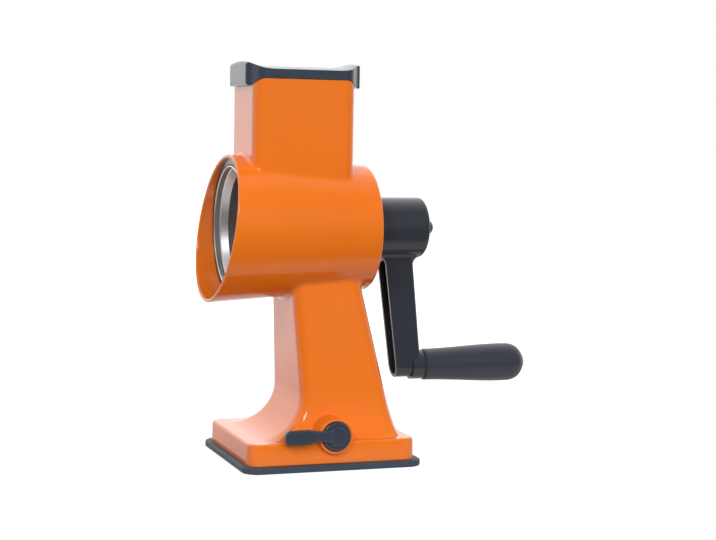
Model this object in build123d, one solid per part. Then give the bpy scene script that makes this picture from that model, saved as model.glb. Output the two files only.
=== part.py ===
from build123d import *
import math
import os

# Rotary cabbage shredder on a suction base, crank to the right, drum mouth to the left.
# Millimetres. X runs along the drum axis towards the crank, -Y is the lever's side, +Z is up.
# The origin is the centre of the base's underside, on the table.

# ---- driving dimensions -------------------------------------------------------------------
TOTAL_HEIGHT = 300.0          # table to the top of the pusher's cap
AXIS_Z = 175.6                # height of the drum and crank axis
WALL = 2.8                    # wall of the moulded body
FIT = 0.05                    # radial clearance of a running fit

PAD_LENGTH = 138.6            # rubber suction pad
PAD_WIDTH = 129.5
PAD_CORNER = 12.0
PAD_RIM = 5.0
DISH = 4.0                    # hollow under the pad's middle while it is held to the table
MEMBRANE_RADIUS = 50.0
MEMBRANE_THICK = 2.5

BASE_LENGTH = 129.6           # skirt of the base
BASE_WIDTH = 118.3
BASE_CORNER = 9.5
BASE_TOP = 20.7
BASE_DRAFT = 0.3              # how far each side leans in over the skirt's height
BASE_ROOF = 2.5               # thickness of its top

PLATE_BOTTOM = 11.0           # plate that closes the base
PLATE_THICK = 3.0
PLATE_GAP = 0.2
SCREW_X = 50.0
SCREW_Y = 45.0
SCREW_RADIUS = 1.5
SCREW_HEAD = 3.0
SCREW_POST = 4.2

MOUTH_X = -76.3               # housing of the drum, a cone that narrows towards the crank
MOUTH_RADIUS = 55.5
MOUTH_SLANT = 0.15            # the mouth leans back by this much for each millimetre of height
MOUTH_ROUND = 1.25
END_X = 40.3
END_RADIUS = 48.0

HOPPER_LEFT = -56.6
HOPPER_RIGHT = 22.1
HOPPER_HALF_WIDTH = 33.65
HOPPER_CORNER = 9.5

PEDESTAL_SWEEP = 34.0         # radius of the large hollow on the pedestal's left foot
PEDESTAL_LEFT = -19.4
PEDESTAL_LEFT_LEAN = 0.063
PEDESTAL_RIGHT = 50.4         # at PEDESTAL_LEVEL
PEDESTAL_RIGHT_LEAN = 0.216
PEDESTAL_HALF_WIDTH = 42.6
PEDESTAL_WIDTH_LEAN = 0.108
PEDESTAL_LEVEL = 40.0
PEDESTAL_CORNER = 9.0
PEDESTAL_FOOT = 7.0           # how far the foot spreads to the front and back
PEDESTAL_RIGHT_FOOT = 3.5
PEDESTAL_BURIED = 22.0        # the column ends this far under the drum axis, inside the housing
COLUMN_X = (-38.0, 51.0)      # opening from the base's hollow up into the pedestal's
COLUMN_Y = 39.0

CAM_Z = 25.3                  # camshaft of the suction lever
CAM_SHAFT = 3.0
CAM_RADIUS = 5.6
CAM_THROW = 2.5
LEVER_FACE = -60.2            # back of the lever's disc
LEVER_DISC = 10.8
LEVER_BOSS = 13.2             # boss around it, whose rim stands out past the disc's back
LEVER_RIM = 2.6
LEVER_RECESS = 11.4
LEVER_SOCKET = 3.4            # how deep the camshaft sits in the lever
WEB_Y = 16.0                  # web inside the pedestal that carries the camshaft's other end
WEB_THICK = 4.0
REAR_BUSH_RADIUS = 5.0
CAM_CLIP_GAP = 2.0

STEM_RADIUS = 4.0             # lift stud, its yoke and its plate
YOKE_HALF = 12.5
YOKE_WALL = 3.1
YOKE_SLOT_HALF = 9.0
YOKE_PLAY = 0.3
LIFT_PLATE = 28.0
LIFT_PLATE_THICK = 1.6
LIFT_COLLAR = 7.5
STUD_PIN = 0.8

DRUM_RIM_X = -66.5            # slotted drum, a cone of sheet with a rolled rim
DRUM_FRONT_X = -60.6
DRUM_END_X = 30.0
DRUM_FRONT = 45.6
DRUM_END = 41.2
DRUM_SHEET = 0.8
DRUM_RIM = 46.8
DRUM_FUNNEL = 41.8            # small end of the bright funnel inside the rim
GUIDE_START = -65.9           # dark guide ring between the rim and the housing
GUIDE_END = -62.0
GUIDE_GAP = 0.6
DRUM_FLANGE = 29.0            # inner radius of the sheet that is turned in at the small end
SLOT_ROWS = 7
SLOTS_AROUND = 12
SLOT_LENGTH = 9.0
SLOT_WIDTH = 3.6
RIVETS = 6
RIVET_CIRCLE = 33.0
RIVET_RADIUS = 1.5
RIVET_HEAD = 2.8
DRUM_PLATE = 38.5
DRUM_BOSS = 12.5

SHAFT_RADIUS = 9.0            # drive shaft and the bush it turns in
DRUM_HEX = 14.0               # across the flats of the drum's drive
HUB_HEX = 15.0
BUSH_RADIUS = 13.0
BUSH_BOSS = 17.0
JOURNAL_END = 31.0
STUD_RADIUS = 4.0             # threaded end for the crank's nut

CRANK_THROW = 107.8           # crank axis to grip axis
HUB_RADIUS = 23.4
HUB_START = 42.6
HUB_END = 87.6
HUB_CORE = 13.0
ARM_FACE_X = 66.5             # open face of the arm at the grip's height
ARM_DEPTH = 21.3
ARM_LEAN = 0.130              # lean of the open face and of the outer one
ARM_OUTER_LEAN = 0.104
ARM_TOP_Z = 165.0
ARM_HALF_TOP = 10.2
ARM_HALF_END = 9.3
ARM_WALL = 2.4
ARM_ROOT = 7.0
SPINDLE_BOSS = 11.2

GRIP_START = 90.8
GRIP_SMALL = 12.2
GRIP_LARGE = 14.9
GRIP_SEAM = 163.1
GRIP_END = 178.0
GRIP_POCKET = 152.0
GRIP_POCKET_RADIUS = 8.0
SPINDLE_RADIUS = 3.5
SPINDLE_START = 76.5
SPINDLE_END = 159.0

CAP_OVERHANG = 0.4            # how far the pusher's cap stands out over the hopper's walls
CAP_LUG = 5.2                 # how far its finger lugs stand out at both ends
CAP_LUG_HALF = 22.8
CAP_LUG_SHIFT = 0.6
CAP_LUG_ROUND = 2.2
CAP_TIP_LOSS = 0.72           # height that this rounding takes off the tips
CAP_SWEEP_START = 30.0        # distance from the middle at which its plan begins to run in
CAP_GAP = 0.35                # joint between the cap and the hopper's rim
CAP_SKIRT = 287.0             # lower edge of the cap's long sides
CAP_LUG_BOTTOM = 281.0
CAP_CROWN = 297.0             # middle of the arched top, which rises to the full height at both ends
CAP_EDGE = 293.7
CAP_FLARE_START = 25.0        # distance from the middle at which the top begins to rise
CAP_ARCH_START = 31.5         # and at which the lower edge begins to fall
PLUNGER_GAP = 0.5
PLUNGER_WALL = 2.2
PLUNGER_BOTTOM = 214.0
DRUM_GAP = 2.4                # plunger to drum

# ---- sizes worked out from them ------------------------------------------------------------
GRIP_Z = AXIS_Z - CRANK_THROW
HOUSING_SLOPE = (MOUTH_RADIUS - END_RADIUS) / (END_X - MOUTH_X)
HOPPER_MIDDLE = (HOPPER_LEFT + HOPPER_RIGHT) / 2
HOPPER_HALF_LENGTH = (HOPPER_RIGHT - HOPPER_LEFT) / 2
PLATE_TOP = PLATE_BOTTOM + PLATE_THICK
CAM_OFFSET = CAM_THROW * math.cos(math.pi / 4)
CAM_BUSH_RADIUS = CAM_THROW + CAM_RADIUS + 0.4
LIFT_BOTTOM = DISH + MEMBRANE_THICK + 0.1
LIFT_TOP = LIFT_BOTTOM + LIFT_PLATE_THICK
PIN_Z = LIFT_TOP + 1.2
HOPPER_TOP = CAP_SKIRT - CAP_GAP
SCREWS = [(x, y) for x in (-SCREW_X, SCREW_X) for y in (-SCREW_Y, SCREW_Y)]
BIG = 400.0


# ---- simple solids -------------------------------------------------------------------------
def rod_x(radius, x0, x1, y=0.0, z=AXIS_Z):
    return Pos((x0 + x1) / 2, y, z) * Rot(0, 90, 0) * Cylinder(radius, x1 - x0)


def rod_y(radius, y0, y1, x=0.0, z=CAM_Z):
    return Pos(x, (y0 + y1) / 2, z) * Rot(90, 0, 0) * Cylinder(radius, y1 - y0)


def rod_z(radius, z0, z1, x=0.0, y=0.0):
    return Pos(x, y, (z0 + z1) / 2) * Cylinder(radius, z1 - z0)


def block(x0, x1, y0, y1, z0, z1):
    middle = Pos((x0 + x1) / 2, (y0 + y1) / 2, (z0 + z1) / 2)
    return middle * Box(x1 - x0, y1 - y0, z1 - z0)


def slab(length, width, corner, z0, z1, x=0.0):
    return Pos(x, 0, z0) * extrude(RectangleRounded(length, width, corner), z1 - z0)


def turned_x(points, z=AXIS_Z):
    """A solid of revolution about a line along X, from its (x, radius) outline."""
    outline = make_face(Polyline(*[(x, 0, z + r) for x, r in points], close=True))
    return revolve(outline, axis=Axis((0, 0, z), (1, 0, 0)))


def turned_z(points):
    outline = make_face(Polyline(*[(r, 0, z) for r, z in points], close=True))
    return revolve(outline, axis=Axis.Z)


def hex_x(across, x0, x1):
    """Hexagonal bar along the drum axis."""
    flat = extrude(RegularPolygon(across / math.sqrt(3), 6), x1 - x0)
    return Pos(x0, 0, AXIS_Z) * Rot(0, 90, 0) * flat


def outline_xz(points, y0, y1):
    """A prism along Y over a closed outline of (x, z) points."""
    face = make_face(Polyline(*[(x, y0, z) for x, z in points], close=True))
    return extrude(face, amount=y1 - y0, dir=(0, 1, 0))


def around_x(count, solid, start=0.0):
    """Copies of a solid spaced evenly about the drum axis."""
    return [
        Pos(0, 0, AXIS_Z) * Rot(start + 360.0 * i / count, 0, 0) * Pos(0, 0, -AXIS_Z) * solid
        for i in range(count)
    ]


def edges_inside(solid, low, high):
    """Edges whose whole length lies between two corners."""
    found = []
    for edge in solid.edges():
        box = edge.bounding_box()
        lows = zip(low, (box.min.X, box.min.Y, box.min.Z))
        highs = zip((box.max.X, box.max.Y, box.max.Z), high)
        if all(a < b for a, b in lows) and all(a < b for a, b in highs):
            found.append(edge)
    return found


# ---- the moulded body ----------------------------------------------------------------------
def housing_radius(x):
    return MOUTH_RADIUS - HOUSING_SLOPE * (x - MOUTH_X)


def housing_cone(inset, x0, x1):
    r0 = housing_radius(x0) - inset
    r1 = housing_radius(x1) - inset
    return turned_x([(x0, 0), (x0, r0), (x1, r1), (x1, 0)])


def pedestal_section(z, inset):
    """Rounded rectangle of the pedestal at height z, which flares into the base's top."""
    below = max(1.0 - (z - BASE_TOP) / PEDESTAL_SWEEP, 0.0)
    flare = 1.0 - math.sqrt(1.0 - below * below)
    above = z - BASE_TOP - PEDESTAL_SWEEP
    lean = PEDESTAL_LEVEL - z
    sweep = PEDESTAL_SWEEP * (1 + PEDESTAL_LEFT_LEAN) * flare
    left = PEDESTAL_LEFT - PEDESTAL_LEFT_LEAN * above - sweep + inset
    right = PEDESTAL_RIGHT + PEDESTAL_RIGHT_LEAN * lean + PEDESTAL_RIGHT_FOOT * flare - inset
    half = PEDESTAL_HALF_WIDTH + PEDESTAL_WIDTH_LEAN * lean + PEDESTAL_FOOT * flare - inset
    corner = PEDESTAL_CORNER + 0.5 * PEDESTAL_FOOT * flare - inset
    return Pos((left + right) / 2, 0, z) * RectangleRounded(right - left, 2 * half, corner)


def pedestal(inset):
    """Straight column in one loft, and the flared foot in another, by even steps of its arc."""
    steps = [math.radians(10 * i) for i in range(10)]
    rises = [PEDESTAL_SWEEP * (1 - math.cos(angle)) for angle in steps]
    lower = loft([pedestal_section(BASE_TOP + rise, inset) for rise in rises])
    ends = (BASE_TOP + PEDESTAL_SWEEP, AXIS_Z - PEDESTAL_BURIED)
    return lower + loft([pedestal_section(z, inset) for z in ends], ruled=True)


def base_skirt():
    bottom = Pos(0, 0, PAD_RIM) * RectangleRounded(BASE_LENGTH, BASE_WIDTH, BASE_CORNER)
    shrink = 2 * BASE_DRAFT
    top = RectangleRounded(BASE_LENGTH - shrink, BASE_WIDTH - shrink, BASE_CORNER - BASE_DRAFT)
    skirt = loft([bottom, Pos(0, 0, BASE_TOP) * top], ruled=True)
    return fillet(skirt.faces().sort_by(Axis.Z)[-1].edges(), 1.8)


def mouth_cutter():
    """Everything to the left of the slanted mouth."""
    top = BIG / 2
    low = (MOUTH_X - MOUTH_SLANT * top, AXIS_Z - top)
    high = (MOUTH_X + MOUTH_SLANT * top, AXIS_Z + top)
    return outline_xz([low, high, (-BIG, high[1]), (-BIG, low[1])], -BIG / 2, BIG / 2)


def under_joint(drop):
    """Everything under the joint of hopper and cap, which is level and falls away at both ends."""
    half = HOPPER_HALF_WIDTH + 5
    reach = HOPPER_HALF_LENGTH + CAP_LUG - CAP_LUG_SHIFT
    level = CAP_SKIRT - drop
    low = CAP_LUG_BOTTOM - drop
    left, right = [HOPPER_MIDDLE + side * CAP_ARCH_START for side in (-1, 1)]
    left_tip, right_tip = [HOPPER_MIDDLE + side * reach for side in (-1, 1)]
    along = [(1, 0, 0), (1, 0, 0)]
    edge = Spline((left_tip, -half, low), (left, -half, level), tangents=along)
    edge += Line((left, -half, level), (right, -half, level))
    edge += Spline((right, -half, level), (right_tip, -half, low), tangents=along)
    edge += Polyline((right_tip, -half, low), (right_tip + 9, -half, low), (right_tip + 9, -half, 150),
                     (left_tip - 9, -half, 150), (left_tip - 9, -half, low), (left_tip, -half, low))
    return extrude(make_face(edge), amount=2 * half, dir=(0, 1, 0))


def body_shell():
    length = 2 * HOPPER_HALF_LENGTH
    width = 2 * HOPPER_HALF_WIDTH
    cone = housing_cone(0, MOUTH_X - 14, END_X)
    cone = fillet(cone.edges().sort_by(Axis.X)[-1], 2.5)
    hopper = slab(length, width, HOPPER_CORNER, AXIS_Z, HOPPER_TOP + 1, HOPPER_MIDDLE)
    upper = cone - mouth_cutter() + (hopper & under_joint(CAP_GAP))
    column = pedestal(0)
    upper += column
    hopper_foot = edges_inside(upper, (HOPPER_LEFT - 1, -40, 200), (HOPPER_RIGHT + 1, 40, 240))
    upper = fillet(hopper_foot, 3.0)
    neck = edges_inside(upper, (-30, -40, 112), (40, 40, 152))
    upper = fillet(neck, 4.0)
    outer = upper + base_skirt()

    drum_room = housing_cone(WALL, MOUTH_X - 16, END_X - WALL)
    throat = slab(length - 2 * WALL, width - 2 * WALL, HOPPER_CORNER - WALL,
                  AXIS_Z, HOPPER_TOP + 2, HOPPER_MIDDLE)
    hollow = pedestal(WALL) - housing_cone(0, MOUTH_X - 14, END_X)
    hollow += block(*COLUMN_X, -COLUMN_Y, COLUMN_Y, PAD_RIM, BASE_TOP + 1)
    under = slab(BASE_LENGTH - 2 * WALL, BASE_WIDTH - 2 * WALL, BASE_CORNER - WALL,
                 PAD_RIM - 1, BASE_TOP - BASE_ROOF)
    body = outer - drum_room - throat - hollow - under
    lips = [e for e in edges_inside(body, (-95, -60, 100), (-60, 60, 250)) if e.length > 200]
    body = fillet(lips, MOUTH_ROUND)

    # boss and seat for the crank's bush, boss and web for the camshaft, and screw posts
    body += rod_x(BUSH_BOSS, END_X - WALL - 4, END_X - WALL + 0.5)
    body -= rod_x(BUSH_RADIUS, END_X - WALL - 5, END_X + 1)
    boss = rod_y(LEVER_BOSS, LEVER_FACE - LEVER_RIM, -32)
    boss = fillet(boss.edges().sort_by(Axis.Y)[0], 0.8)
    body += boss - block(-20, 20, 1 - BASE_WIDTH / 2, 0, 0, PLATE_TOP + 0.3)
    body -= rod_y(LEVER_RECESS, LEVER_FACE - LEVER_RIM - 1, LEVER_FACE + 0.4)
    body -= rod_y(CAM_BUSH_RADIUS, LEVER_FACE, -31)
    ends = (COLUMN_X[0] + 1, COLUMN_X[1] - 1, WEB_Y, WEB_Y + WEB_THICK)
    web = block(*ends, BASE_TOP - BASE_ROOF, CAM_Z + 13)
    body += web & (column + block(*ends, BASE_TOP - BASE_ROOF, BASE_TOP + 1))
    body -= rod_y(REAR_BUSH_RADIUS, WEB_Y - 1, WEB_Y + WEB_THICK + 1)
    for x, y in SCREWS:
        body += rod_z(SCREW_POST, PLATE_TOP, BASE_TOP - 2, x, y)
        body -= rod_z(SCREW_RADIUS, PLATE_BOTTOM, BASE_TOP - 1.7, x, y)
    return body


# ---- base: plate, pad, screws --------------------------------------------------------------
def base_plate():
    inner = WALL + PLATE_GAP
    plate = slab(BASE_LENGTH - 2 * inner, BASE_WIDTH - 2 * inner, BASE_CORNER - inner,
                 PLATE_BOTTOM, PLATE_TOP)
    plate -= rod_z(STEM_RADIUS + FIT, 0, 30)
    for x, y in SCREWS:
        plate -= rod_z(SCREW_RADIUS + 0.2, 0, 30, x, y)
    return plate


def base_screws():
    screws = []
    for x, y in SCREWS:
        screw = rod_z(SCREW_HEAD, PLATE_BOTTOM - 2.0, PLATE_BOTTOM, x, y)
        screw += rod_z(SCREW_RADIUS, PLATE_BOTTOM - 0.1, BASE_TOP - 2.2, x, y)
        screw -= block(x - 2, x + 2, y - 0.4, y + 0.4, PLATE_BOTTOM - 2.5, PLATE_BOTTOM - 1.1)
        screws.append(screw)
    return Compound(children=screws)


def suction_pad():
    """Rubber rim with a bead that the plate clamps."""
    rim = slab(PAD_LENGTH, PAD_WIDTH, PAD_CORNER, 0, PAD_RIM)
    rim = fillet(rim.faces().sort_by(Axis.Z)[-1].edges(), 1.6)
    rim = chamfer(rim.faces().sort_by(Axis.Z)[0].edges(), 0.6)
    inner = WALL + PLATE_GAP
    bead = slab(BASE_LENGTH - 2 * inner, BASE_WIDTH - 2 * inner, BASE_CORNER - inner,
                PAD_RIM - 0.5, PLATE_BOTTOM)
    bead -= slab(BASE_LENGTH - 2 * inner - 8, BASE_WIDTH - 2 * inner - 8, 4.0, 0, PLATE_BOTTOM + 1)
    return rim - rod_z(MEMBRANE_RADIUS, -1, PAD_RIM + 1) + bead


def pad_membrane():
    """Thin middle of the pad, drawn up into a dish by the lift plate."""
    upper = DISH + MEMBRANE_THICK
    return turned_z([(0, DISH), (18, DISH), (MEMBRANE_RADIUS, 0.6), (MEMBRANE_RADIUS, 3.4),
                     (LIFT_PLATE + 0.6, upper), (0, upper)])


# ---- suction lever, cam and lift -----------------------------------------------------------
def suction_lever():
    disc = rod_y(LEVER_DISC, LEVER_FACE - 4.6, LEVER_FACE)
    disc = fillet(disc.edges().sort_by(Axis.Y)[0], 1.2)
    back = LEVER_FACE - LEVER_RIM - 0.3
    outline = [(-4, 5.2), (-15, 4.9), (-21.5, 6.2), (-40.2, 6.2), (-40.2, -4.7), (-21.5, -4.7),
               (-15, -2.6), (-4, -4.5)]
    arm = outline_xz([(x, CAM_Z + z) for x, z in outline], LEVER_FACE - 7.2, back)
    arm = fillet(arm.edges().filter_by(Axis.Y).group_by(Axis.X)[0], 4.0)
    arm = fillet(arm.faces().sort_by(Axis.Y)[0].edges(), 1.6)
    grip = slab(18.0, 9.6, 4.0, 0, back + 3.4 - LEVER_FACE + LEVER_RIM)
    arm += Pos(-30.4, back, CAM_Z + 0.75) * Rot(-90, 0, 0) * grip
    rise = rod_y(7.6, LEVER_FACE - 6.4, LEVER_FACE - 4)
    rise = fillet(rise.edges().sort_by(Axis.Y)[0], 1.0)
    return disc + arm + rise - rod_y(CAM_SHAFT, LEVER_FACE - LEVER_SOCKET, LEVER_FACE + 1)


def camshaft():
    shaft = rod_y(CAM_SHAFT, LEVER_FACE - LEVER_SOCKET, WEB_Y + WEB_THICK + 5)
    shaft += rod_y(CAM_RADIUS, -4.5, 4.5, CAM_OFFSET, CAM_Z + CAM_OFFSET)
    y = WEB_Y + WEB_THICK + CAM_CLIP_GAP
    return shaft - (rod_y(CAM_SHAFT + 1, y, y + 1.1) - rod_y(CAM_SHAFT - 0.7, y, y + 1.1))


def cam_clip():
    y = WEB_Y + WEB_THICK + CAM_CLIP_GAP + 0.1
    ring = rod_y(6.0, y, y + 0.9) - rod_y(CAM_SHAFT - 0.7, y - 1, y + 2)
    return ring - block(-1.6, 1.6, y - 1, y + 2, CAM_Z - 8, CAM_Z)


def front_cam_bush():
    return rod_y(CAM_BUSH_RADIUS, LEVER_FACE + 0.4, -44) - rod_y(CAM_SHAFT + FIT, -70, -40)


def rear_cam_bush():
    bush = rod_y(REAR_BUSH_RADIUS, WEB_Y, WEB_Y + WEB_THICK + 1)
    bush += rod_y(REAR_BUSH_RADIUS + 2.2, WEB_Y - 1.2, WEB_Y)
    return bush - rod_y(CAM_SHAFT + FIT, 0, 40)


def lift_stud():
    """Stem with a yoke whose slot follows the cam."""
    low = CAM_Z + CAM_OFFSET - CAM_RADIUS - YOKE_PLAY
    high = CAM_Z + CAM_OFFSET + CAM_RADIUS + YOKE_PLAY
    yoke = block(-YOKE_HALF, YOKE_HALF, -4, 4, low - YOKE_WALL, high + YOKE_WALL)
    yoke = fillet(yoke.edges().filter_by(Axis.Y), 2.5)
    slot = block(-YOKE_SLOT_HALF, YOKE_SLOT_HALF, -5, 5, low, high)
    slot = fillet(slot.edges().filter_by(Axis.Y), 2.0)
    stem = rod_z(STEM_RADIUS, LIFT_TOP, low - YOKE_WALL + 0.1) - rod_x(STUD_PIN, -10, 10, 0, PIN_Z)
    return yoke - slot + stem


def lift_plate():
    plate = rod_z(LIFT_PLATE, LIFT_BOTTOM, LIFT_TOP)
    plate = fillet(plate.edges(), 0.5)
    plate += rod_z(LIFT_COLLAR, LIFT_TOP - 0.2, LIFT_TOP + 2.4)
    return plate - rod_z(STEM_RADIUS, LIFT_TOP, 30) - rod_x(STUD_PIN, -10, 10, 0, PIN_Z)


def stud_pin():
    return rod_x(STUD_PIN, 0.1 - LIFT_COLLAR, LIFT_COLLAR - 0.1, 0, PIN_Z)


# ---- drum ----------------------------------------------------------------------------------
def drum_radius(x):
    return DRUM_FRONT + (DRUM_END - DRUM_FRONT) * (x - DRUM_FRONT_X) / (DRUM_END_X - DRUM_FRONT_X)


def drum_shell():
    end = DRUM_END_X
    cone = turned_x([
        (DRUM_FRONT_X, drum_radius(DRUM_FRONT_X)), (end, drum_radius(end)),
        (end, DRUM_FLANGE), (end - DRUM_SHEET, DRUM_FLANGE),
        (end - DRUM_SHEET, drum_radius(end) - DRUM_SHEET),
        (DRUM_FRONT_X, drum_radius(DRUM_FRONT_X) - DRUM_SHEET)])
    pitch = (end - DRUM_FRONT_X - 14) / SLOT_ROWS
    cuts = []
    for row in range(SLOT_ROWS):
        x = DRUM_FRONT_X + 9 + pitch * (row + 0.5)
        slot = SlotOverall(SLOT_LENGTH, SLOT_WIDTH, rotation=90)
        hole = Pos(x, 0, AXIS_Z + DRUM_END / 2) * extrude(slot, DRUM_END)
        cuts += around_x(SLOTS_AROUND, hole, (row % 2) * 180.0 / SLOTS_AROUND)
    cuts += around_x(RIVETS, rod_x(RIVET_RADIUS, end - 5, end + 5, 0, AXIS_Z + RIVET_CIRCLE))
    return cone - cuts


def drum_front_ring():
    """Rolled rim, channel and inner funnel at the drum's open end."""
    start = DRUM_FRONT_X
    seat = start + 1.6
    sheet = DRUM_SHEET + 0.05
    return turned_x([
        (DRUM_RIM_X, DRUM_RIM - 1.1), (DRUM_RIM_X + 0.3, DRUM_RIM - 0.3), (DRUM_RIM_X + 1.0, DRUM_RIM),
        (DRUM_RIM_X + 1.8, DRUM_RIM - 0.4), (start, DRUM_RIM - 0.5),
        (start, drum_radius(start) - sheet), (seat, drum_radius(seat) - sheet),
        (start + 4.6, DRUM_FUNNEL + 0.8), (start + 4.6, DRUM_FUNNEL),
        (start - 0.4, drum_radius(start) - 1.2), (start - 0.9, drum_radius(start) - 0.9),
        (start - 1.4, DRUM_RIM - 1.5),
        (DRUM_RIM_X + 0.6, DRUM_RIM - 1.5)])


def rim_guide():
    """Dark ring in the housing that the drum's rim runs in."""
    outer = [(x, housing_radius(x) - WALL - FIT) for x in (GUIDE_START, GUIDE_END)]
    inner = DRUM_RIM + GUIDE_GAP
    return turned_x(outer + [(GUIDE_END, inner), (GUIDE_START, inner)])


def drum_hub():
    """Spoked plate inside the drum's small end, with the hexagonal socket."""
    back = DRUM_END_X - DRUM_SHEET
    plate = rod_x(DRUM_PLATE, back - 3, back) + rod_x(DRUM_BOSS, 12, DRUM_END_X + 0.6)
    rib = block(20, back - 2.9, -1.2, 1.2, AXIS_Z + DRUM_BOSS - 1.5, AXIS_Z + DRUM_PLATE - 1.5)
    plate += around_x(RIVETS, rib, 30)
    plate -= around_x(RIVETS, rod_x(RIVET_RADIUS, back - 5, back + 5, 0, AXIS_Z + RIVET_CIRCLE))
    return plate - hex_x(DRUM_HEX + 0.3, 0, 40)


def drum_rivets():
    back = DRUM_END_X - DRUM_SHEET - 3
    z = AXIS_Z + RIVET_CIRCLE
    rivet = rod_x(RIVET_RADIUS, back, DRUM_END_X, 0, z)
    rivet += rod_x(RIVET_HEAD, back - 0.9, back, 0, z)
    rivet += rod_x(RIVET_HEAD, DRUM_END_X, DRUM_END_X + 0.8, 0, z)
    return Compound(children=around_x(RIVETS, rivet))


# ---- crank ---------------------------------------------------------------------------------
def shaft_bush():
    bush = rod_x(BUSH_RADIUS, END_X - WALL - 4.5, END_X) + rod_x(16, END_X, END_X + 1.2)
    return bush - rod_x(SHAFT_RADIUS + FIT, 20, 50)


def thrust_washer():
    return rod_x(19, END_X + 1.2, END_X + 2.0) - rod_x(SHAFT_RADIUS + 0.3, 30, 50)


def drive_shaft():
    """Hexagon for the drum, journal, hexagon for the crank's hub, and the nut's stud."""
    shaft = hex_x(DRUM_HEX, 8, JOURNAL_END + 1) + rod_x(SHAFT_RADIUS, JOURNAL_END, 60)
    shaft += hex_x(HUB_HEX, 59, HUB_END - 4) + rod_x(STUD_RADIUS, HUB_END - 5, HUB_END + 7)
    groove = rod_x(SHAFT_RADIUS + 1, JOURNAL_END + 0.6, JOURNAL_END + 1.6)
    return shaft - (groove - rod_x(SHAFT_RADIUS - 1, JOURNAL_END, JOURNAL_END + 3))


def shaft_clip():
    ring = rod_x(11.5, JOURNAL_END + 0.65, JOURNAL_END + 1.55)
    ring -= rod_x(SHAFT_RADIUS - 1, JOURNAL_END, JOURNAL_END + 3)
    return ring - block(JOURNAL_END, JOURNAL_END + 3, -2.5, 2.5, AXIS_Z - 14, AXIS_Z)


def arm_form(inset, front, back):
    """Slanted bar from the hub to the grip, its sides narrowing to a round end."""
    top = ARM_HALF_TOP - inset
    end = ARM_HALF_END - inset
    side = Line((0, -top, ARM_TOP_Z), (0, -end, GRIP_Z))
    bottom = ThreePointArc((0, -end, GRIP_Z), (0, 0, GRIP_Z - end), (0, end, GRIP_Z))
    other = Polyline((0, end, GRIP_Z), (0, top, ARM_TOP_Z), (0, -top, ARM_TOP_Z))
    plan = extrude(make_face(side + bottom + other), amount=BIG / 2, dir=(1, 0, 0))
    low, high = 40.0, 190.0
    inside = [(ARM_FACE_X + front - ARM_LEAN * (z - GRIP_Z), z) for z in (low, high)]
    outside = [(ARM_FACE_X + ARM_DEPTH - back - ARM_OUTER_LEAN * (z - GRIP_Z), z) for z in (high, low)]
    return plan & outline_xz(inside + outside, -40, 40)


def crank_arm():
    hub = rod_x(HUB_RADIUS, HUB_START, HUB_END)
    hub = fillet(hub.edges().sort_by(Axis.X)[-1], 3.0)
    bar = arm_form(0, 0, 0)
    bar = fillet(bar.faces().sort_by(Axis.X)[-1].edges().filter_by(lambda e: e.center().Z < 160), 4.0)
    arm = hub + bar
    root = edges_inside(arm, (50, -12, AXIS_Z - HUB_RADIUS - 2), (90, 12, AXIS_Z - 15))
    arm = fillet(root, ARM_ROOT)
    arm += rod_x(SPINDLE_BOSS, ARM_FACE_X + 14, GRIP_START - 0.6, 0, GRIP_Z)
    arm -= arm_form(ARM_WALL, -1, 3) - rod_x(HUB_RADIUS + 1.5, 0, BIG)
    arm += rod_x(6.0, ARM_FACE_X + 13, ARM_FACE_X + ARM_DEPTH - 2, 0, GRIP_Z)
    arm -= rod_x(SPINDLE_RADIUS, ARM_FACE_X, 120, 0, GRIP_Z)
    cup = rod_x(HUB_RADIUS - 3, HUB_START - 1, HUB_END - 4) - rod_x(HUB_CORE, 50, HUB_END)
    rib = block(52, HUB_END, -1.1, 1.1, AXIS_Z + HUB_CORE - 1, AXIS_Z + HUB_RADIUS)
    cup -= around_x(6, rib, 30)
    arm = arm - cup - rod_x(SHAFT_RADIUS, 40, 60) - hex_x(HUB_HEX, 59, HUB_END - 4)
    return arm - rod_x(STUD_RADIUS, 60, 120)


def crank_nut():
    """Domed nut on the outer end of the shaft."""
    base = hex_x(13.0, HUB_END, HUB_END + 5) & rod_x(7.2, HUB_END, HUB_END + 5)
    dome = Pos(HUB_END + 4.2, 0, AXIS_Z) * Sphere(6.3)
    dome &= block(HUB_END + 4.2, HUB_END + 12, -9, 9, AXIS_Z - 9, AXIS_Z + 9)
    return base + dome - rod_x(STUD_RADIUS, HUB_END - 1, HUB_END + 7)


# ---- grip ----------------------------------------------------------------------------------
def grip_spindle():
    spindle = rod_x(SPINDLE_RADIUS, SPINDLE_START, SPINDLE_END, 0, GRIP_Z)
    head = Pos(SPINDLE_START - 1, 0, GRIP_Z) * Rot(0, 90, 0) * extrude(RegularPolygon(5.4, 6), 4)
    groove = rod_x(SPINDLE_RADIUS + 1, SPINDLE_END - 3, SPINDLE_END - 1.9, 0, GRIP_Z)
    groove -= rod_x(SPINDLE_RADIUS - 0.8, SPINDLE_END - 4, SPINDLE_END, 0, GRIP_Z)
    return spindle + head - groove


def grip_clip():
    ring = rod_x(6.2, SPINDLE_END - 2.95, SPINDLE_END - 1.95, 0, GRIP_Z)
    ring -= rod_x(SPINDLE_RADIUS - 0.8, SPINDLE_END - 5, SPINDLE_END, 0, GRIP_Z)
    return ring - block(SPINDLE_END - 5, SPINDLE_END, -1.8, 1.8, GRIP_Z - 8, GRIP_Z)


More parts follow.
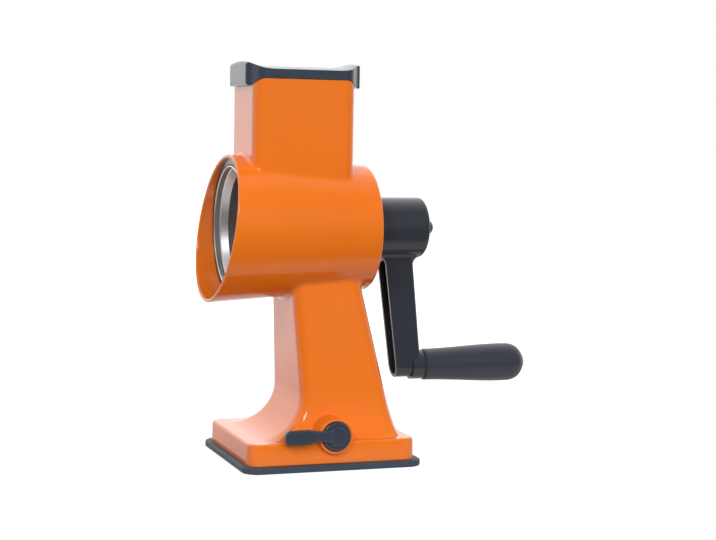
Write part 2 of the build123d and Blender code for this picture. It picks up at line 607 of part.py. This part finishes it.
def grip_sleeve():
    """Tapered handle, fullest near its outer end, hollow there for the spindle's clip."""
    radii = [(GRIP_START, GRIP_SMALL - 1.2), (GRIP_START + 1.2, GRIP_SMALL), (128, 13.75),
             (GRIP_SEAM - 8, GRIP_LARGE), (GRIP_SEAM, GRIP_LARGE - 0.05)]
    rim = [(x, 0, GRIP_Z + r) for x, r in radii]
    start = Polyline((GRIP_START, 0, GRIP_Z), rim[0], rim[1])
    close = Polyline(rim[4], (GRIP_SEAM, 0, GRIP_Z), (GRIP_START, 0, GRIP_Z))
    outline = make_face(start + Spline(*rim[1:]) + close)
    sleeve = revolve(outline, axis=Axis((0, 0, GRIP_Z), (1, 0, 0)))
    sleeve -= rod_x(SPINDLE_RADIUS + FIT, 80, 200, 0, GRIP_Z)
    return sleeve - rod_x(GRIP_POCKET_RADIUS, GRIP_POCKET, 200, 0, GRIP_Z)


def grip_end_cap():
    """Domed plug that closes the handle."""
    radius = GRIP_LARGE - 0.05
    dome = Spline((GRIP_SEAM, 0, GRIP_Z + radius), (GRIP_SEAM + 8.6, 0, GRIP_Z + 12.0),
                  (GRIP_END - 1.6, 0, GRIP_Z + 6.0), (GRIP_END, 0, GRIP_Z),
                  tangents=[(1, 0, -0.06), (0, 0, -1)])
    rest = Polyline((GRIP_END, 0, GRIP_Z), (GRIP_SEAM, 0, GRIP_Z), (GRIP_SEAM, 0, GRIP_Z + radius))
    cap = revolve(make_face(dome + rest), axis=Axis((0, 0, GRIP_Z), (1, 0, 0)))
    return cap + rod_x(GRIP_POCKET_RADIUS, GRIP_SEAM - 3, GRIP_SEAM + 1, 0, GRIP_Z)


# ---- pusher --------------------------------------------------------------------------------
def cap_section(offset):
    """Upright slice across the cap at a distance from its middle, with an arched top."""
    half = HOPPER_HALF_WIDTH + CAP_OVERHANG
    flare = HOPPER_HALF_LENGTH + CAP_LUG - CAP_FLARE_START
    rise = max(abs(offset) - CAP_FLARE_START, 0.0) / flare
    top = CAP_CROWN + (TOTAL_HEIGHT + CAP_TIP_LOSS - CAP_CROWN) * rise ** 2
    x = HOPPER_MIDDLE + CAP_LUG_SHIFT + offset
    side = top - CAP_CROWN + CAP_EDGE
    arch = ThreePointArc((x, -half, side), (x, 0, top), (x, half, side))
    rest = Polyline((x, half, side), (x, half, 270), (x, -half, 270), (x, -half, side))
    return make_face(arch + rest)


def cap_end(side):
    """Plan of one end, which sweeps in smoothly from the long sides to the lug."""
    half = HOPPER_HALF_WIDTH + CAP_OVERHANG
    tip = side * (HOPPER_HALF_LENGTH + CAP_LUG) + CAP_LUG_SHIFT
    start = side * CAP_SWEEP_START
    edge = Spline((start, half), (tip, CAP_LUG_HALF), tangents=[(side, 0), (side, -0.3)])
    edge += Polyline((tip, CAP_LUG_HALF), (tip, 0), (start, 0), (start, half))
    plan = make_face(edge)
    return plan + mirror(plan, Plane.XZ)


def cap_plan():
    middle = Rectangle(2 * CAP_SWEEP_START, 2 * (HOPPER_HALF_WIDTH + CAP_OVERHANG))
    return middle + cap_end(-1) + cap_end(1)


def pusher_cap():
    """Saddle-shaped lid of the plunger, with a finger lug at each end."""
    reach = HOPPER_HALF_LENGTH + CAP_LUG + 2
    sections = loft([cap_section(reach * (i / 6 - 1)) for i in range(13)])
    cap = Pos(HOPPER_MIDDLE, 0, CAP_LUG_BOTTOM - 1) * extrude(cap_plan(), 30) & sections
    cap -= under_joint(0)
    ends = cap.faces().filter_by(Axis.X).sort_by(Axis.X)
    cap = fillet(ends[0].edges() + ends[-1].edges(), CAP_LUG_ROUND)
    outer = WALL + PLUNGER_GAP - 0.1
    cap -= slab(2 * (HOPPER_HALF_LENGTH - outer), 2 * (HOPPER_HALF_WIDTH - outer),
                HOPPER_CORNER - outer, 270, CAP_SKIRT, HOPPER_MIDDLE)
    inner = WALL + PLUNGER_GAP + PLUNGER_WALL
    return cap + slab(2 * (HOPPER_HALF_LENGTH - inner), 2 * (HOPPER_HALF_WIDTH - inner), 2.0,
                      CAP_SKIRT - 4, CAP_SKIRT + 2, HOPPER_MIDDLE)


def pusher_plunger():
    """Hollow block that fills the hopper, hollowed underneath to match the drum."""
    outer = WALL + PLUNGER_GAP
    inner = outer + PLUNGER_WALL
    body = slab(2 * (HOPPER_HALF_LENGTH - outer), 2 * (HOPPER_HALF_WIDTH - outer),
                HOPPER_CORNER - outer, PLUNGER_BOTTOM, CAP_SKIRT, HOPPER_MIDDLE)
    ends = [(x, drum_radius(x) + DRUM_GAP) for x in (-90, 60)]
    body -= turned_x([(-90, 0)] + ends + [(60, 0)])
    return body - slab(2 * (HOPPER_HALF_LENGTH - inner), 2 * (HOPPER_HALF_WIDTH - inner), 2.0,
                       AXIS_Z + DRUM_FRONT + 5.5, CAP_SKIRT + 1, HOPPER_MIDDLE)


NODES = {
    "body_shell": body_shell,
    "base_plate": base_plate,
    "base_screws": base_screws,
    "suction_pad": suction_pad,
    "pad_membrane": pad_membrane,
    "suction_lever": suction_lever,
    "camshaft": camshaft,
    "cam_clip": cam_clip,
    "front_cam_bush": front_cam_bush,
    "rear_cam_bush": rear_cam_bush,
    "lift_stud": lift_stud,
    "lift_plate": lift_plate,
    "stud_pin": stud_pin,
    "drum_shell": drum_shell,
    "drum_front_ring": drum_front_ring,
    "drum_hub": drum_hub,
    "drum_rivets": drum_rivets,
    "rim_guide": rim_guide,
    "shaft_bush": shaft_bush,
    "thrust_washer": thrust_washer,
    "drive_shaft": drive_shaft,
    "shaft_clip": shaft_clip,
    "crank_arm": crank_arm,
    "crank_nut": crank_nut,
    "grip_spindle": grip_spindle,
    "grip_clip": grip_clip,
    "grip_sleeve": grip_sleeve,
    "grip_end_cap": grip_end_cap,
    "pusher_cap": pusher_cap,
    "pusher_plunger": pusher_plunger,
}

os.makedirs("parts", exist_ok=True)
for name, build in NODES.items():
    export_step(build(), "parts/" + name + ".step")
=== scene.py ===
import math

import bmesh
import bpy
from mathutils import Matrix, Vector


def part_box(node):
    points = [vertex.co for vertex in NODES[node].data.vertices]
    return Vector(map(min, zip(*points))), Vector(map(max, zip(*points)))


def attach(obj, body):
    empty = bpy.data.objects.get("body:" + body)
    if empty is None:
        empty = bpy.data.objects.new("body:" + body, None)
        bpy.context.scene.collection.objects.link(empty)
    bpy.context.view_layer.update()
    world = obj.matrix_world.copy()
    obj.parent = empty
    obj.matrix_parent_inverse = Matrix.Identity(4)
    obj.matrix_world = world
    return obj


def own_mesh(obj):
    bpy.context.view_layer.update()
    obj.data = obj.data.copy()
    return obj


bl_info = {
    "name": "Rotary Cabbage Shredder",
    "version": (1, 0, 0),
    "blender": (4, 5, 0),
    "location": "View3D > Sidebar > Shredder",
    "description": "Finishes, cutting lips and studio for a hand-cranked rotary shredder",
    "category": "Object",
}

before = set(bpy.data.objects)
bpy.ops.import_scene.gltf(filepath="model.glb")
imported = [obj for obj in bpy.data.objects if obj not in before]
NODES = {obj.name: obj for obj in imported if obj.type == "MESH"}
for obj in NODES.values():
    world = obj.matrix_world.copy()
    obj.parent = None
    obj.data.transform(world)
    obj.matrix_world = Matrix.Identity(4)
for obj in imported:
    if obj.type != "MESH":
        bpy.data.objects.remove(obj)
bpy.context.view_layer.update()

PHOTO_WIDTH = 716
SENSOR_WIDTH = 36.0

DRUM_LOW, DRUM_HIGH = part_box("drum_shell")
AXIS_Z = (DRUM_LOW[2] + DRUM_HIGH[2]) / 2


# ---- sizes and colours a user would change -----------------------------------------------
def colour_property(name, description, value):
    return bpy.props.FloatVectorProperty(
        name=name, description=description, default=value, subtype="COLOR", size=3, min=0, max=1)


def length_property(name, description, value, low=0.0):
    return bpy.props.FloatProperty(
        name=name, description=description, default=value, min=low, unit="LENGTH", precision=5)


def factor_property(name, description, value):
    return bpy.props.FloatProperty(
        name=name, description=description, default=value, subtype="FACTOR", min=0, max=1)


def count_property(name, description, value):
    return bpy.props.IntProperty(name=name, description=description, default=value, min=1)


class ShredderColours(bpy.types.PropertyGroup):
    shell: colour_property("Shell", "Glossy moulded body", (0.86, 0.186, 0.011))
    # The dark colour also blackens the ring in the mouth, as painted shade for the gap round the
    # drum rim.
    dark: colour_property("Dark plastic", "Crank arm and inner pieces", (0.010, 0.011, 0.014))
    slate: colour_property("Slate plastic", "Pusher and suction lever", (0.036, 0.049, 0.070))
    grip: colour_property("Grip", "Satin turning handle", (0.036, 0.041, 0.054))
    rubber: colour_property("Rubber", "Suction pad", (0.040, 0.057, 0.085))
    steel: colour_property("Stainless", "Rolled rim and funnel of the drum", (0.66, 0.65, 0.64))
    # Drum sheet: the drum steel made darker, as painted shade for the inside of the drum; its
    # rougher finish is its own.
    sheet: colour_property("Drum sheet", "Slotted sheet of the drum", (0.40, 0.39, 0.38))
    plain_steel: colour_property("Plain steel", "Shafts, screws and clips", (0.50, 0.50, 0.51))
    bush: colour_property("Bushes", "Pale bearing plastic", (0.72, 0.71, 0.66))


class ShredderLips(bpy.types.PropertyGroup):
    rows: count_property("Rows", "Rows of cutting slots along the drum", 7)
    around: count_property("Around", "Slots in each row", 12)
    lead: length_property("Lead", "Plain sheet before the first row", 0.009)
    plain: length_property("Plain ends", "Sheet left plain at both ends together", 0.014)
    end_radius: length_property("End radius", "Drum radius at its small end", 0.0412)
    width: length_property("Width", "Width of a lip along the drum", 0.0050)
    reach: length_property("Reach", "Length of a lip round the drum", 0.0046)
    rise: length_property("Rise", "Height of the cutting edge over the sheet", 0.0014)
    sheet: length_property("Sheet", "Thickness of the lip", 0.0005)
    overlap: length_property("Overlap", "How far a lip's foot runs onto the plain sheet", 0.0008)
    foot: factor_property("Foot", "Width of a lip's foot as a share of its edge", 0.55)


LIP_FACES = (8, 5)          # faces across a lip and along it
LIP_SWELL = 1.4             # how late a lip rises on its way to the cutting edge


class ShredderStudio(bpy.types.PropertyGroup):
    floor_size: length_property("Floor", "Side of the square floor", 14.0)
    floor_glow: factor_property("Floor glow", "White shown by the floor to the lens", 0.72)
    floor_tone: factor_property("Floor tone", "Diffuse colour of the floor near the object", 0.50)
    front_tone: factor_property("Front tone", "Diffuse colour of the floor before it", 0.10)
    floor_edge: bpy.props.FloatProperty(
        name="Floor edge", description="Where the pale floor ends, before the object",
        default=-0.15, unit="LENGTH")
    pool: length_property("Pool", "Radius round the object where the floor takes shadows", 0.45)
    sky_level: factor_property("Sky level", "Soft light from all round", 0.45)
    front_level: factor_property("Front level", "What gloss reflects from the lens side", 0.20)
    back_level: bpy.props.FloatProperty(
        name="Back level", description="What gloss reflects from behind", default=1.6, min=0)


# ---- shader expressions --------------------------------------------------------------------
class Value:
    """A socket that takes part in Python expressions by adding Math nodes."""

    def __init__(self, graph, socket):
        self.graph = graph
        self.socket = socket

    def _math(self, operation, first, second=None):
        inputs = {0: first} if second is None else {0: first, 1: second}
        return self.graph.node("ShaderNodeMath", {"operation": operation}, inputs)

    def __add__(self, other):
        return self._math("ADD", self, other)

    def __radd__(self, other):
        return self._math("ADD", other, self)

    def __sub__(self, other):
        return self._math("SUBTRACT", self, other)

    def __rsub__(self, other):
        return self._math("SUBTRACT", other, self)

    def __mul__(self, other):
        return self._math("MULTIPLY", self, other)

    def __rmul__(self, other):
        return self._math("MULTIPLY", other, self)

    def __truediv__(self, other):
        return self._math("DIVIDE", self, other)

    def root(self):
        return self._math("SQRT", self)

    def turn(self, other):
        return self._math("ARCTAN2", self, other)


class Graph:
    """A material's or world's node tree, with one method that adds any node."""

    def __init__(self, owner):
        owner.use_nodes = True
        self.tree = owner.node_tree
        self.tree.nodes.clear()

    def node(self, kind, settings=None, inputs=None, out=0):
        made = self.tree.nodes.new(kind)
        for name, value in (settings or {}).items():
            if name == "stops":
                self._stops(made.color_ramp, value)
            else:
                setattr(made, name, value)
        for key, value in (inputs or {}).items():
            if isinstance(value, Value):
                self.tree.links.new(value.socket, made.inputs[key])
            else:
                made.inputs[key].default_value = value
        return Value(self, made.outputs[out]) if made.outputs else made

    def _stops(self, ramp, stops):
        while len(ramp.elements) < len(stops):
            ramp.elements.new(1.0)
        for element, (place, tone) in zip(ramp.elements, stops):
            element.position = place
            element.color = (tone, tone, tone, 1)

    def place(self):
        return self.node("ShaderNodeTexCoord", out="Object")

    def parts(self, vector):
        split = self.node("ShaderNodeSeparateXYZ", inputs={0: vector})
        outputs = split.socket.node.outputs
        return [Value(self, socket) for socket in outputs]

    def join(self, x, y, z):
        return self.node("ShaderNodeCombineXYZ", inputs={0: x, 1: y, 2: z})

    def stretch(self, vector, scale):
        settings = {"operation": "MULTIPLY"}
        return self.node("ShaderNodeVectorMath", settings, {0: vector, 1: scale})

    def noise(self, vector, scale, detail=2.0, rough=0.5):
        inputs = {"Vector": vector, "Scale": scale, "Detail": detail, "Roughness": rough}
        return self.node("ShaderNodeTexNoise", inputs=inputs)

    def ramp(self, value, *stops):
        return self.node("ShaderNodeValToRGB", {"stops": stops}, {0: value})

    def mix(self, factor, first, second):
        inputs = {0: factor, 6: first, 7: second}
        return self.node("ShaderNodeMix", {"data_type": "RGBA"}, inputs, out=2)

    def bump(self, height, strength, distance):
        inputs = {"Strength": strength, "Distance": distance, "Height": height}
        return self.node("ShaderNodeBump", inputs=inputs)


def tint(colour, factor):
    return (*(min(c * factor, 1.0) for c in colour), 1.0)


def surface(name, constants, linked):
    """A material whose shader takes plain numbers on its sockets and links for what varies."""
    material = bpy.data.materials.new(name)
    graph = Graph(material)
    inputs = dict(constants)
    inputs.update(linked(graph))
    shader = graph.node("ShaderNodeBsdfPrincipled", inputs=inputs)
    graph.node("ShaderNodeOutputMaterial", inputs={"Surface": shader})
    return material


def moulded(name, colour, roughness, grain, depth, drift=0.05, scuff=0.06, **constants):
    """Injection-moulded plastic: slow tone drift, fine grain, and faint rubbed scratches."""
    def linked(graph):
        place = graph.place()
        slow = graph.noise(place, 14.0, 2.0)
        fine = graph.noise(place, grain, 3.0, 0.6)
        rubbed = graph.noise(graph.stretch(place, (1.0, 1.0, 7.0)), 160.0, 4.0, 0.7)
        marks = graph.ramp(rubbed, (0.60, 0.0), (0.74, 1.0))
        tone = graph.ramp(slow, (0.35, 0.0), (0.65, 1.0))
        base = graph.mix(tone, tint(colour, 1 - drift), tint(colour, 1 + drift))
        return {
            "Base Color": base,
            "Roughness": roughness + (fine - 0.5) * 0.05 + marks * scuff,
            "Normal": graph.bump(fine, 0.35, depth),
        }
    return surface(name, constants, linked)


def brushed(name, colour, roughness, about_axis):
    """Bright sheet or turned steel with fine lines that run round the axis or along the part."""
    def linked(graph):
        x, y, z = graph.parts(graph.place())
        if about_axis:
            up = z - AXIS_Z
            radius = (y * y + up * up).root()
            lines = graph.join(x * 2600.0, radius * 2600.0, y.turn(up) * 1.2)
        else:
            lines = graph.join(x * 90.0, y * 2200.0, z * 2200.0)
        grain = graph.noise(lines, 1.0, 3.0, 0.6)
        cloud = graph.noise(graph.place(), 60.0, 2.0)
        base = graph.mix(grain, tint(colour, 0.86), tint(colour, 1.08))
        return {
            "Base Color": base,
            "Roughness": roughness + (grain - 0.5) * 0.16 + (cloud - 0.5) * 0.08,
            "Normal": graph.bump(grain, 0.18, 0.00004),
        }
    return surface(name, {"Metallic": 1.0}, linked)


def rubbery(name, colour):
    """Soft matt rubber with a dusty bloom and fine pits."""
    def linked(graph):
        place = graph.place()
        pits = graph.noise(place, 1500.0, 3.0, 0.65)
        bloom = graph.noise(place, 45.0, 4.0, 0.6)
        dust = graph.ramp(bloom, (0.42, 0.0), (0.75, 1.0))
        return {
            "Base Color": graph.mix(dust * 0.35, tint(colour, 0.92), tint(colour, 1.5)),
            "Roughness": 0.56 + (pits - 0.5) * 0.14 + dust * 0.08,
            "Normal": graph.bump(pits, 0.5, 0.00006),
        }
    return surface(name, {"Specular IOR Level": 0.42}, linked)


# ---- materials by use ----------------------------------------------------------------------
def colours():
    return bpy.context.scene.shredder_colours


def shell_finish():
    return moulded("glossy_shell", colours().shell, 0.12, 900.0, 0.00002, 0.02, 0.05,
                   **{"IOR": 1.5})


def dark_finish():
    return moulded("dark_plastic", colours().dark, 0.15, 1200.0, 0.00003, 0.05, 0.06,
                   **{"IOR": 1.5})


def slate_finish():
    return moulded("slate_plastic", colours().slate, 0.22, 1200.0, 0.00003, 0.05, 0.06,
                   **{"IOR": 1.5})


def grip_finish():
    return moulded("satin_grip", colours().grip, 0.42, 1500.0, 0.00005, 0.05, 0.05,
                   **{"IOR": 1.46})


def bush_finish():
    return moulded("bearing_plastic", colours().bush, 0.38, 1100.0, 0.00004, 0.04, 0.05,
                   **{"IOR": 1.48})


def finish_for(key):
    """The finish for a kind of piece, made once."""
    makers = {
        "glossy_shell": shell_finish,
        "dark_plastic": dark_finish,
        "slate_plastic": slate_finish,
        "satin_grip": grip_finish,
        "bearing_plastic": bush_finish,
        "matt_rubber": lambda: rubbery("matt_rubber", colours().rubber),
        "drum_steel": lambda: brushed("drum_steel", colours().steel, 0.18, True),
        # The drum sheet is a darker, rougher copy of the drum steel: the darker colour is painted
        # shade for the drum's inside.
        "shaded_drum_sheet": lambda: brushed("shaded_drum_sheet", colours().sheet, 0.40, True),
        "plain_steel": lambda: brushed("plain_steel", colours().plain_steel, 0.30, False),
    }
    return bpy.data.materials.get(key) or makers[key]()


def dress(key, *names):
    """Gives CAD nodes their finish."""
    finish = finish_for(key)
    for name in names:
        node = NODES[name]
        if node.material_slots:
            for held in node.material_slots:
                held.material = finish
        else:
            node.data.materials.append(finish)


def piece(name, mesh, body, key):
    """A new mesh object with its finish, riding on a body."""
    made = bpy.data.objects.new(name, mesh)
    bpy.context.scene.collection.objects.link(made)
    mesh.materials.append(finish_for(key))
    for polygon in mesh.polygons:
        polygon.use_smooth = True
    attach(made, body)
    return made


# ---- operators: one for each group of pieces -------------------------------------------------
class SHREDDER_OT_body(bpy.types.Operator):
    """Finish the body, the dark ring in its mouth whose black is painted shade for the gap round the
    drum rim, and the plate and screws under it
    """
    bl_idname = "shredder.body"
    bl_label = "Body and base"

    def execute(self, context):
        dress("glossy_shell", "body_shell")
        # rim_guide is dressed black: painted shade for the deep gap between the drum rim and the
        # housing wall.
        dress("dark_plastic", "base_plate", "front_cam_bush", "rim_guide")
        dress("plain_steel", "base_screws")
        return {"FINISHED"}


class SHREDDER_OT_pad(bpy.types.Operator):
    """Finish the suction pad's rim and its middle, and give the middle a mesh of its own"""
    bl_idname = "shredder.pad"
    bl_label = "Suction pad"

    def execute(self, context):
        dress("matt_rubber", "suction_pad", "pad_membrane")
        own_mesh(NODES["pad_membrane"])
        return {"FINISHED"}


class SHREDDER_OT_lever(bpy.types.Operator):
    """Finish the suction lever, its camshaft and the lift inside the base"""
    bl_idname = "shredder.lever"
    bl_label = "Suction lever"

    def execute(self, context):
        dress("slate_plastic", "suction_lever", "lift_stud", "lift_plate")
        dress("plain_steel", "camshaft", "cam_clip", "stud_pin")
        dress("bearing_plastic", "rear_cam_bush")
        return {"FINISHED"}


class SHREDDER_OT_drum(bpy.types.Operator):
    """Finish the slotted drum, its rolled rim, hub and rivets"""
    bl_idname = "shredder.drum"
    bl_label = "Drum"

    def execute(self, context):
        dress("drum_steel", "drum_front_ring", "drum_rivets")
        dress("shaded_drum_sheet", "drum_shell")
        dress("dark_plastic", "drum_hub")
        return {"FINISHED"}


class SHREDDER_OT_lips(bpy.types.Operator):
    """Raise a curved cutting lip over one end of every slot in the drum"""
    bl_idname = "shredder.lips"
    bl_label = "Cutting lips"

    def execute(self, context):
        lips = context.scene.shredder_lips
        start, end = DRUM_LOW[0], DRUM_HIGH[0]
        first = (DRUM_HIGH[1] - DRUM_LOW[1]) / 2
        pitch = (end - start - lips.plain) / lips.rows
        across, along = LIP_FACES
        shape = bmesh.new()
        for row in range(lips.rows):
            middle = start + lips.lead + pitch * (row + 0.5)
            for step in range(lips.around):
                turn = math.tau * (step + 0.5 * (row % 2)) / lips.around
                grid = []
                for i in range(along + 1):
                    run = i / along
                    line = []
                    for j in range(across + 1):
                        side = -math.cos(math.pi * j / across)
                        x = middle + side * lips.width / 2 * (lips.foot + (1 - lips.foot) * run)
                        radius = first + (lips.end_radius - first) * (x - start) / (end - start)
                        height = lips.rise * math.sqrt(max(1 - side * side, 0)) * run ** LIP_SWELL
                        radius += height - lips.sheet * 0.5
                        angle = turn + (run * lips.reach - lips.reach - lips.overlap) / radius
                        line.append(shape.verts.new(
                            (x, -radius * math.sin(angle), AXIS_Z + radius * math.cos(angle))))
                    grid.append(line)
                for i in range(along):
                    for j in range(across):
                        corners = (grid[i][j], grid[i][j + 1], grid[i + 1][j + 1], grid[i + 1][j])
                        shape.faces.new(corners)
        bmesh.ops.recalc_face_normals(shape, faces=shape.faces)
        mesh = bpy.data.meshes.new("drum_cutting_lips")
        shape.to_mesh(mesh)
        shape.free()
        made = piece("drum_cutting_lips", mesh, "drum", "shaded_drum_sheet")
        solid = made.modifiers.new("sheet", "SOLIDIFY")
        solid.thickness = lips.sheet
        solid.offset = 0.0
        return {"FINISHED"}


class SHREDDER_OT_crank(bpy.types.Operator):
    """Finish the crank arm, its nut, the drive shaft and the bush that it turns in"""
    bl_idname = "shredder.crank"
    bl_label = "Crank"

    def execute(self, context):
        dress("dark_plastic", "crank_arm", "crank_nut")
        dress("plain_steel", "drive_shaft", "shaft_clip", "grip_spindle", "grip_clip")
        dress("bearing_plastic", "shaft_bush", "thrust_washer")
        return {"FINISHED"}


class SHREDDER_OT_grip(bpy.types.Operator):
    """Finish the turning handle and its end cap"""
    bl_idname = "shredder.grip"
    bl_label = "Grip"

    def execute(self, context):
        dress("satin_grip", "grip_sleeve", "grip_end_cap")
        return {"FINISHED"}


class SHREDDER_OT_pusher(bpy.types.Operator):
    """Finish the pusher's saddle-shaped cap and its plunger"""
    bl_idname = "shredder.pusher"
    bl_label = "Pusher"

    def execute(self, context):
        dress("slate_plastic", "pusher_cap", "pusher_plunger")
        return {"FINISHED"}


# ---- stage ---------------------------------------------------------------------------------
CAMERA_PLACE = (-0.384474, -1.189932, 0.243658)
CAMERA_YAW = math.radians(19.492)
CAMERA_PITCH = math.radians(4.573)
CAMERA_ROLL = math.radians(0.993)
CAMERA_FOCAL_PIXELS = 1639.26
LAMP_TARGET = (0, 0, 0.15)
EDGE_SHARPNESS = 20.0       # how quickly the pale floor gives way before the object
GLOSS_FLOOR_LOSS = 0.3      # how much darker the near floor is in gloss than to the lens


def add_camera():
    data = bpy.data.cameras.new("lens")
    data.sensor_width = SENSOR_WIDTH
    data.sensor_fit = "HORIZONTAL"
    data.lens = CAMERA_FOCAL_PIXELS / PHOTO_WIDTH * SENSOR_WIDTH
    data.clip_end = 60
    level = Vector((math.cos(CAMERA_YAW), -math.sin(CAMERA_YAW), 0))
    ahead = Vector((math.sin(CAMERA_YAW) * math.cos(CAMERA_PITCH),
                    math.cos(CAMERA_YAW) * math.cos(CAMERA_PITCH), -math.sin(CAMERA_PITCH)))
    upright = level.cross(ahead)
    right = math.cos(CAMERA_ROLL) * level + math.sin(CAMERA_ROLL) * upright
    up = math.cos(CAMERA_ROLL) * upright - math.sin(CAMERA_ROLL) * level
    camera = bpy.data.objects.new("camera", data)
    camera.matrix_world = Matrix.Translation(CAMERA_PLACE) @ Matrix(
        (right, up, -ahead)).transposed().to_4x4()
    bpy.context.scene.collection.objects.link(camera)
    bpy.context.scene.camera = camera


def add_panel(name, place, width, height, radiance, in_gloss):
    """A soft lamp whose face has the same brightness whatever its size."""
    data = bpy.data.lights.new(name, "AREA")
    data.shape = "RECTANGLE"
    data.size = width
    data.size_y = height
    data.energy = radiance * math.pi * width * height
    lamp = bpy.data.objects.new(name, data)
    lamp.location = place
    toward = Vector(LAMP_TARGET) - Vector(place)
    lamp.rotation_euler = toward.to_track_quat("-Z", "Y").to_euler()
    lamp.visible_camera = False
    lamp.visible_glossy = in_gloss
    bpy.context.scene.collection.objects.link(lamp)


def shown(graph):
    """The kinds of ray that the studio tells apart: from the lens, off gloss, and through glass."""
    path = graph.node("ShaderNodeLightPath").socket.node
    camera, glossy, clear = (
        Value(graph, path.outputs[name])
        for name in ("Is Camera Ray", "Is Glossy Ray", "Is Transmission Ray"))
    return camera, glossy, clear


class SHREDDER_OT_stage(bpy.types.Operator):
    """Add the white floor, the soft lamps, the white surroundings and the camera"""
    bl_idname = "shredder.stage"
    bl_label = "Stage"

    def execute(self, context):
        studio = context.scene.shredder_studio
        self.add_floor(studio)
        self.add_surroundings(context.scene, studio)
        add_panel("left_panel", (-1.15, -1.44, 1.4), 0.5, 0.5, 18.0, True)
        add_panel("front_panel", (0.2, -2.2, 1.0), 1.8, 1.4, 3.9, False)
        add_panel("back_panel", (0.8, 2.2, 1.0), 1.8, 1.4, 2.8, False)
        add_camera()
        return {"FINISHED"}

    def add_floor(self, studio):
        half = studio.floor_size / 2
        mesh = bpy.data.meshes.new("floor")
        mesh.from_pydata([(-half, -half, 0), (half, -half, 0), (half, half, 0), (-half, half, 0)],
                         [], [(0, 1, 2, 3)])
        floor = bpy.data.objects.new("floor", mesh)
        bpy.context.scene.collection.objects.link(floor)
        material = bpy.data.materials.new("white_floor")
        graph = Graph(material)
        camera, glossy, clear = shown(graph)
        across, depth, _ = graph.parts(graph.place())
        away = (across * across + depth * depth).root() / studio.pool
        pool = graph.ramp(away * 0.5, (0.5, 1.0), (1.0, 0.0))
        near = graph.ramp((depth - studio.floor_edge) * EDGE_SHARPNESS + 0.5, (0.0, 0.0), (1.0, 1.0))
        behind = graph.ramp(depth * 0.5 + 0.5, (0.52, 0.0), (0.75, 1.0))
        dark, pale = (tint((tone,) * 3, 1.0) for tone in (studio.front_tone, studio.floor_tone))
        paper = graph.node("ShaderNodeBsdfDiffuse", inputs={"Color": graph.mix(near, dark, pale)})
        seen = 1.0 - near * pool * (1.0 - studio.floor_glow)
        mirrored = near * (studio.floor_glow - GLOSS_FLOOR_LOSS) + behind * (studio.back_level - 1.0)
        strength = (camera + clear) * seen + glossy * mirrored
        glow = graph.node("ShaderNodeEmission", inputs={"Strength": strength})
        both = graph.node("ShaderNodeAddShader", inputs={0: paper, 1: glow})
        graph.node("ShaderNodeOutputMaterial", inputs={"Surface": both})
        mesh.materials.append(material)

    def add_surroundings(self, scene, studio):
        """White all round, with a darker room on the lens side that only gloss picks up."""
        world = bpy.data.worlds.new("surroundings")
        scene.world = world
        graph = Graph(world)
        camera, glossy, clear = shown(graph)
        toward = graph.node("ShaderNodeTexCoord", out="Generated")
        across, depth, height = graph.parts(toward)
        round_about = graph.ramp(depth * 0.5 + 0.5, (0.30, 0.0), (0.74, 1.0))
        mirrored = studio.front_level + round_about * (studio.back_level - studio.front_level)
        soft = (1 - camera) * (1 - glossy) * (1 - clear)
        strength = camera + clear + glossy * mirrored + soft * studio.sky_level
        white = (1.0, 1.0, 1.0, 1.0)
        sky = graph.node("ShaderNodeBackground", inputs={"Color": white, "Strength": strength})
        graph.node("ShaderNodeOutputWorld", inputs={"Surface": sky})


# ---- panel and registration ------------------------------------------------------------------
PIECES = (
    SHREDDER_OT_body,
    SHREDDER_OT_pad,
    SHREDDER_OT_lever,
    SHREDDER_OT_drum,
    SHREDDER_OT_lips,
    SHREDDER_OT_crank,
    SHREDDER_OT_grip,
    SHREDDER_OT_pusher,
    SHREDDER_OT_stage,
)
GROUPS = {
    "shredder_colours": ShredderColours,
    "shredder_lips": ShredderLips,
    "shredder_studio": ShredderStudio,
}


class SHREDDER_PT_panel(bpy.types.Panel):
    """Lists the pieces and their settings"""
    bl_idname = "SHREDDER_PT_panel"
    bl_label = "Rotary shredder"
    bl_space_type = "VIEW_3D"
    bl_region_type = "UI"
    bl_category = "Shredder"

    def draw(self, context):
        for name in GROUPS:
            group = getattr(context.scene, name)
            box = self.layout.box()
            for key in group.__annotations__:
                box.prop(group, key)
        for operator in PIECES:
            self.layout.operator(operator.bl_idname)


def register():
    for group in GROUPS.values():
        bpy.utils.register_class(group)
    for operator in PIECES:
        bpy.utils.register_class(operator)
    bpy.utils.register_class(SHREDDER_PT_panel)
    for name, group in GROUPS.items():
        setattr(bpy.types.Scene, name, bpy.props.PointerProperty(type=group))


def unregister():
    for name in GROUPS:
        delattr(bpy.types.Scene, name)
    bpy.utils.unregister_class(SHREDDER_PT_panel)
    for operator in reversed(PIECES):
        bpy.utils.unregister_class(operator)
    for group in GROUPS.values():
        bpy.utils.unregister_class(group)


def main():
    register()
    bpy.context.scene.view_settings.view_transform = "Standard"
    for operator in PIECES:
        name = operator.bl_idname.split(".")[1]
        getattr(bpy.ops.shredder, name)()
    bpy.context.view_layer.update()


if __name__ == "__main__":
    main()
